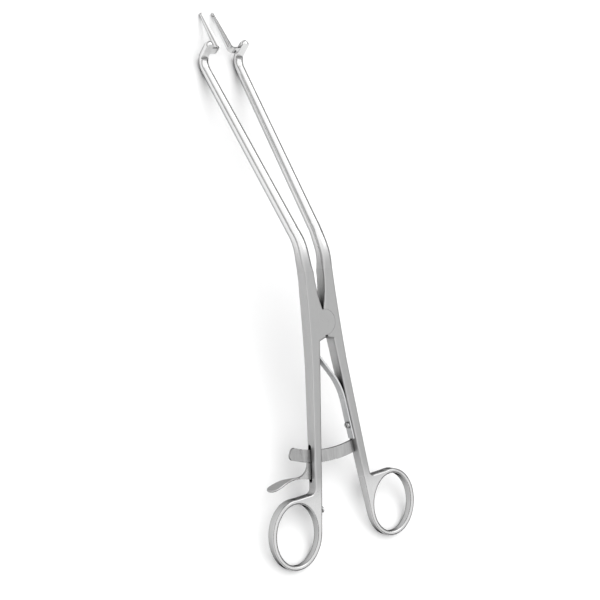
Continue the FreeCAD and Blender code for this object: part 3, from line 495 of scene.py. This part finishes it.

# On the arms the edge colour is a dark grey, a painted line of shade along every edge.
# On the arms the painted shade in recesses is at its darkest, which darkens the V between them.
arm_steel, arm_surface = new_steel("satin_and_polished_steel", grey(FACE_GREY), SATIN_ROUGHNESS,
                                   depth=0.000003, edge_wear_and_shade_colour=grey(0.28), painted_shade_reach=0.008,
                                   painted_recess_shade=0.03)
tree = arm_steel.node_tree
where = node(tree, "ShaderNodeSeparateXYZ", Vector=node(tree, "ShaderNodeTexCoord").outputs["Object"])
below_joint = remap(tree, where.outputs["Y"], RING_TOP - BORDER, RING_TOP + BORDER)
above_joint = remap(tree, where.outputs["Y"], BEND + BORDER, BEND - BORDER)
satin = math_node(tree, "MULTIPLY", below_joint, above_joint)
tree.links.new(remap(tree, satin, 0.0, 1.0, POLISHED_ROUGHNESS, SATIN_ROUGHNESS),
               arm_surface.inputs["Roughness"])
polished_grey = remap(tree, where.outputs["Y"], RING_TOP, BEND, RING_GREY, SHANK_GREY)
# Painted light: the satin sides get a lighter grey than the faces.
facing = node(tree, "ShaderNodeVectorMath", operation="DOT_PRODUCT")
tree.links.new(node(tree, "ShaderNodeTexCoord").outputs["Normal"], facing.inputs[0])
facing.inputs[1].default_value = FRONT
flat_face = remap(tree, math_node(tree, "ABSOLUTE", facing.outputs["Value"]), SLANTED, SQUARE)
satin_grey_with_painted_light = mix_colours(tree, flat_face, grey(PAINTED_LIGHT_SIDE_GREY), grey(FACE_GREY))
tree.links.new(mix_colours(tree, satin, polished_grey, satin_grey_with_painted_light), arm_surface.inputs["Colour"])
for name in ("left_arm", "right_arm"):
    dress(name, arm_steel)

# %% [markdown]
# ### Blades, bar, lever and pins
# The blades are polished bright, because they reflect light into the canal. The bar was ground
# across its length, which leaves streaks over its face. The lever is rubbed in all directions,
# and the pins were ground flush with the arms, so they show as faint discs in the same satin.

# %% Other steels
SLIGHTLY_BLUE = 0.01
blade_steel = new_steel("bright_polished_steel", grey(0.70), 0.13, spread=0.04, shade=0.06)[0]
bar_steel = new_steel("brushed_bar_steel", grey(0.31), 0.30, shade=0.5, stretch=LINES_OF_THE_BAR)[0]
lever_steel = new_steel("rubbed_lever_steel", grey(0.38), 0.24, stretch=GRAIN_ALL_WAYS)[0]
pin_steel = new_steel("ground_pin_steel", grey(FACE_GREY), SATIN_ROUGHNESS, stretch=GRAIN_ALL_WAYS,
                      edge_wear_and_shade=0.1)[0]
spring_steel = new_steel("blue_grey_spring_steel", grey(0.54, SLIGHTLY_BLUE), 0.28,
                         depth=0.000005)[0]
screw_steel = new_steel("turned_screw_steel", grey(0.40), 0.22, stretch=GRAIN_ALL_WAYS)[0]
for name, material in (("left_blade", blade_steel), ("right_blade", blade_steel),
                       ("ratchet_bar", bar_steel), ("release_lever", lever_steel),
                       ("joint_pin", pin_steel), ("lever_pin", pin_steel), ("ratchet_bar_pin", pin_steel)):
    dress(name, material)

# %% [markdown]
# ## The main leaf spring
# A strip of spring steel is screwed flat to the right handle, leaves it in a gentle bend and
# bears on the left handle. When the handles are squeezed, the strip flexes. A stiff solid would
# cut into the left handle then. The strip is remade from many short lengths.
# It is extruded along the handle, spun round the bend's centre and extruded to its tip.

# %% Helper: extrude a strip along a line, an arc and a line
STRAIGHT = math.radians(0.1)


def run_straight(step, count):
    for _ in range(count):
        bpy.ops.mesh.extrude_region_move(TRANSFORM_OT_translate={"value": step / count})


def leaf_strip(name, start, corner, end, bend_radius, thickness, width, counts):
    """Strip in the plane of the handles; its points lie on its middle."""
    into, out = (corner - start).normalized(), (end - corner).normalized()
    turn = into.angle(out)
    tangent = bend_radius * math.tan(turn / 2)
    strip = start_section(name, start, into, FRONT.cross(into), thickness, width)
    bpy.ops.object.mode_set(mode="EDIT")
    bpy.ops.mesh.select_all(action="SELECT")
    run_straight(corner - into * tangent - start, counts[0])
    if turn > STRAIGHT:
        axis = into.cross(out).normalized()
        centre = corner - into * tangent + axis.cross(into) * bend_radius
        bpy.ops.mesh.spin(steps=counts[1], angle=-turn, center=centre, axis=axis)
        run_straight(end - corner - out * tangent, counts[2])
    bpy.ops.object.mode_set(mode="OBJECT")
    return strip


def bore(piece, centre, axis, radius, depth):
    subtract(piece, start_cylinder("bore_tool", centre, axis, radius, depth, sides=24))


# %% Main spring
HANDLE_FACE = Vector((-0.99154, -0.12983))
HOLE_RADIUS, HOLE_DEPTH = 1.02 * MM, 3 * MM
MAIN_SPRING_THICKNESS, MAIN_SPRING_WIDTH = 0.9 * MM, 4.0 * MM
MAIN_SPRING_BEND, MAIN_SPRING_ROUND = 35 * MM, 0.12 * MM
MAIN_SPRING_STEPS = (8, 12, 14)
right_face = direction(*HANDLE_FACE)
main_start = place(10.405, -59.558)
main_corner = place(6.844, -32.358)
main_end = place(-4.660, -16.065)
main_spring = leaf_strip("main_spring_strip", main_start, main_corner, main_end, MAIN_SPRING_BEND,
                         MAIN_SPRING_THICKNESS, MAIN_SPRING_WIDTH, MAIN_SPRING_STEPS)
close_up(main_spring)
bore(main_spring, place(9.489, -52.558), right_face, HOLE_RADIUS, HOLE_DEPTH)
soften(main_spring, MAIN_SPRING_ROUND)
close_up(main_spring)
main_spring.data.materials.append(spring_steel)
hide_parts("main_spring")
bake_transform(main_spring)

# %% [markdown]
# ## The lever's leaf spring
# A smaller strip on the left handle presses on the toe of the release lever, so that its nose
# stays in the teeth. It moves with the lever at its free end and stays on the handle at its
# foot. It is made in the same way.

# %% Lever spring
LEVER_SPRING_THICKNESS, LEVER_SPRING_WIDTH = 0.7 * MM, 2.6 * MM
LEVER_SPRING_ROUND = 0.1 * MM
LEVER_SPRING_STEPS = (16, 0, 0)
left_face = direction(-HANDLE_FACE.x, HANDLE_FACE.y)
lever_start = place(-14.694, -91.547)
lever_end = place(-12.298, -73.247)
straight_on = lever_end + (lever_end - lever_start)
lever_spring = leaf_strip("lever_spring_strip", lever_start, lever_end, straight_on, 0.0,
                          LEVER_SPRING_THICKNESS, LEVER_SPRING_WIDTH, LEVER_SPRING_STEPS)
close_up(lever_spring)
bore(lever_spring, place(-14.367, -89.045), left_face, HOLE_RADIUS, HOLE_DEPTH)
soften(lever_spring, LEVER_SPRING_ROUND)
close_up(lever_spring)
lever_spring.data.materials.append(spring_steel)
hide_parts("lever_spring")
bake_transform(lever_spring)

# %% [markdown]
# ## The spring screws
# Each spring is held by a slotted cheese-head screw. The head starts as a cylinder: its top is
# inset and lifted into a low crown, its bottom is inset and pushed out as the shank, and a
# block cuts the slot for the driver.

# %% Helper: a slotted screw
HEAD_RADIUS, HEAD_HEIGHT, SHANK_RADIUS = 1.6 * MM, 1.0 * MM, 1.0 * MM
SLOT_WIDTH, SCREW_ROUND = 0.5 * MM, 0.07 * MM
CROWN_STEP = HEAD_RADIUS * 0.3
CROWN_RISES = (HEAD_HEIGHT * 0.10, HEAD_HEIGHT * 0.04)
SLOT_CENTRE = HEAD_HEIGHT * 1.05
SAME_LEVEL = 1e-5


def select_end(piece, centre, axis, level):
    """Selects the faces that look along the axis at a level above the centre."""
    bpy.ops.mesh.select_all(action="DESELECT")
    bpy.ops.object.mode_set(mode="OBJECT")
    for face in piece.data.polygons:
        near = abs((face.center - centre).dot(axis) - level) < SAME_LEVEL
        face.select = near and abs(face.normal.dot(axis)) > NEARLY_ALONG
    bpy.ops.object.mode_set(mode="EDIT")


def slotted_screw(name, seat, out, shank_length):
    out = out.normalized()
    middle = seat + out * HEAD_HEIGHT / 2
    screw = settle(start_cylinder(name, middle, out, HEAD_RADIUS, HEAD_HEIGHT))
    bpy.ops.object.mode_set(mode="EDIT")
    select_end(screw, middle, out, HEAD_HEIGHT / 2)
    for rise in CROWN_RISES:
        bpy.ops.mesh.inset(thickness=CROWN_STEP, depth=rise)
    select_end(screw, middle, out, -HEAD_HEIGHT / 2)
    bpy.ops.mesh.inset(thickness=HEAD_RADIUS - SHANK_RADIUS, depth=0)
    bpy.ops.mesh.extrude_region_move(TRANSFORM_OT_translate={"value": -out * shank_length})
    bpy.ops.object.mode_set(mode="OBJECT")
    close_up(screw)
    clear_selection()
    turn = turned_to(out, ALONG)
    bpy.ops.mesh.primitive_cube_add(size=1, location=seat + out * SLOT_CENTRE, rotation=turn.to_euler())
    driver = bpy.context.object
    driver.scale = (HEAD_RADIUS * 3, SLOT_WIDTH, HEAD_HEIGHT)
    settle(driver)
    subtract(screw, driver)
    soften(screw, SCREW_ROUND, segments=2)
    close_up(screw)
    screw.data.materials.append(screw_steel)
    return screw


# %% Both screws
GAP = 0.01 * MM
main_seat = place(9.935, -52.5) + right_face * (MAIN_SPRING_THICKNESS + GAP)
main_screw = slotted_screw("main_spring_screw_slotted", main_seat, right_face, 3.8 * MM)
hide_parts("main_spring_screw")
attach(main_screw, "right_arm")
lever_seat = place(-14.714, -89.0) + left_face * (LEVER_SPRING_THICKNESS + GAP)
lever_screw = slotted_screw("lever_spring_screw_slotted", lever_seat, left_face, 3.6 * MM)
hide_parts("lever_spring_screw")
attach(lever_screw, "left_arm")

# %% [markdown]
# ## Floor and light
# Polished steel shows what is around it more than its own colour. So the studio is as much a
# part of the finish as the material is: a pale floor, a pale sky that gets darker towards the
# horizon, most of all on the right, where it gives the shanks their thin dark line, a brighter
# patch for the long highlights and one large soft lamp there, which throws the shadow.

# %% Floor
FLOOR_SIZE = 40.0
FLOOR_GREY, FLOOR_ROUGHNESS = 0.94, 0.9
clear_selection()
bpy.ops.mesh.primitive_grid_add(x_subdivisions=2, y_subdivisions=2, size=FLOOR_SIZE,
                                location=(0, 0, cad_low.z))
floor = bpy.context.object
floor.name = "floor"
floor_paint = bpy.data.materials.new("floor_paint")
floor_paint.use_nodes = True
floor_shader = floor_paint.node_tree.nodes["Principled BSDF"]
floor_shader.inputs["Roughness"].default_value = FLOOR_ROUGHNESS
floor_shader.inputs["Base Color"].default_value = grey(FLOOR_GREY)
floor.data.materials.append(floor_paint)

# %% World
SOFTBOX_WAY = Vector((0.56, 0.54, 0.63)).normalized()
GLOW_EDGE, GLOW_MIDDLE, GLOW = 0.86, 0.97, 0.9
LEFT_END, RIGHT_END = -0.2, 0.6
LEFT_HORIZON, RIGHT_HORIZON = 0.50, 0.03
HORIZON_TOP, SKY_START, SKY = 0.28, 0.62, 1.40
world = bpy.data.worlds.new("studio")
bpy.context.scene.world = world
world.use_nodes = True
sky = world.node_tree
sky_way = node(sky, "ShaderNodeTexCoord").outputs["Generated"]
towards_softbox = node(sky, "ShaderNodeVectorMath", operation="DOT_PRODUCT")
sky.links.new(sky_way, towards_softbox.inputs[0])
towards_softbox.inputs[1].default_value = SOFTBOX_WAY
softbox_glow = remap(sky, towards_softbox.outputs["Value"], GLOW_EDGE, GLOW_MIDDLE, 0.0, GLOW)
way_parts = node(sky, "ShaderNodeSeparateXYZ", Vector=sky_way)
horizon = remap(sky, way_parts.outputs["X"], LEFT_END, RIGHT_END, LEFT_HORIZON, RIGHT_HORIZON)
room = remap(sky, way_parts.outputs["Z"], HORIZON_TOP, SKY_START, horizon, SKY)
sky.links.new(math_node(sky, "ADD", softbox_glow, room), sky.nodes["Background"].inputs["Color"])
sky.nodes["Background"].inputs["Strength"].default_value = 1.0

# %% Key lamp
LAMP_DISTANCE, LAMP_SIZE, LAMP_POWER = 1.2, 1.6, 1.3
lamp_data = bpy.data.lights.new("key_lamp", "AREA")
lamp_data.shape = "DISK"
lamp_data.size = LAMP_SIZE
lamp_data.energy = LAMP_POWER
key_lamp = bpy.data.objects.new("key_lamp", lamp_data)
bpy.context.scene.collection.objects.link(key_lamp)
key_lamp.location = (cad_low + cad_high) / 2 + SOFTBOX_WAY * LAMP_DISTANCE
key_lamp.rotation_euler = (-SOFTBOX_WAY).to_track_quat("-Z", "Y").to_euler()
print("key lamp", LAMP_POWER, "W, horizon from", LEFT_HORIZON, "to", RIGHT_HORIZON)

# %% [markdown]
# ## The picture
# Standard keeps colours as they are written.

# %% Finish
bpy.context.scene.view_settings.view_transform = "Standard"
